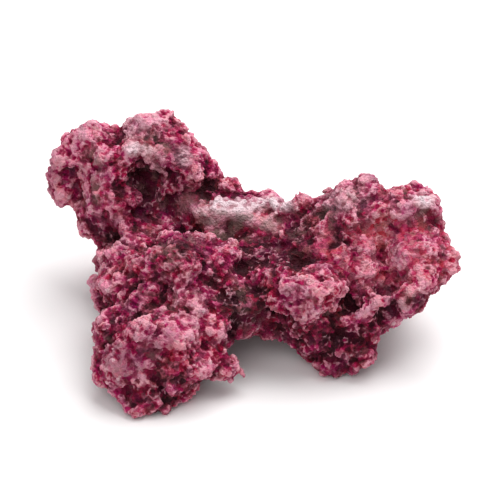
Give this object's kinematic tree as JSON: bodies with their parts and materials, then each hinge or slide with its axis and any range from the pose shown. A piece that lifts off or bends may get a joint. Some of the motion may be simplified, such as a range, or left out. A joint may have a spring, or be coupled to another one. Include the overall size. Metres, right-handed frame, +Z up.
{
  "type": "reef rock",
  "caption": "Porous, knobbly piece of dry reef rock with a hollowed head, a reaching arm, a heavy shelved lobe and worn feet, crusted in pink and maroon.",
  "frame": {"origin": "middle of the underside of the rock's box, on the plane that its feet stand on", "axes": "+Z up from the worn feet, +X to the right along the rock's length, +Y away from the front, from the toe towards the head"},
  "size_m": [0.2134, 0.159, 0.0962],
  "materials": {
    "crust": "matt, gritty coralline crust: rose and bright pink on the crowns, maroon in the creases, pale dusty flecks and grey-brown bare patches"
  },
  "bodies": {
    "root": {"reef_rock": "crust"}
  },
  "joints": []
}
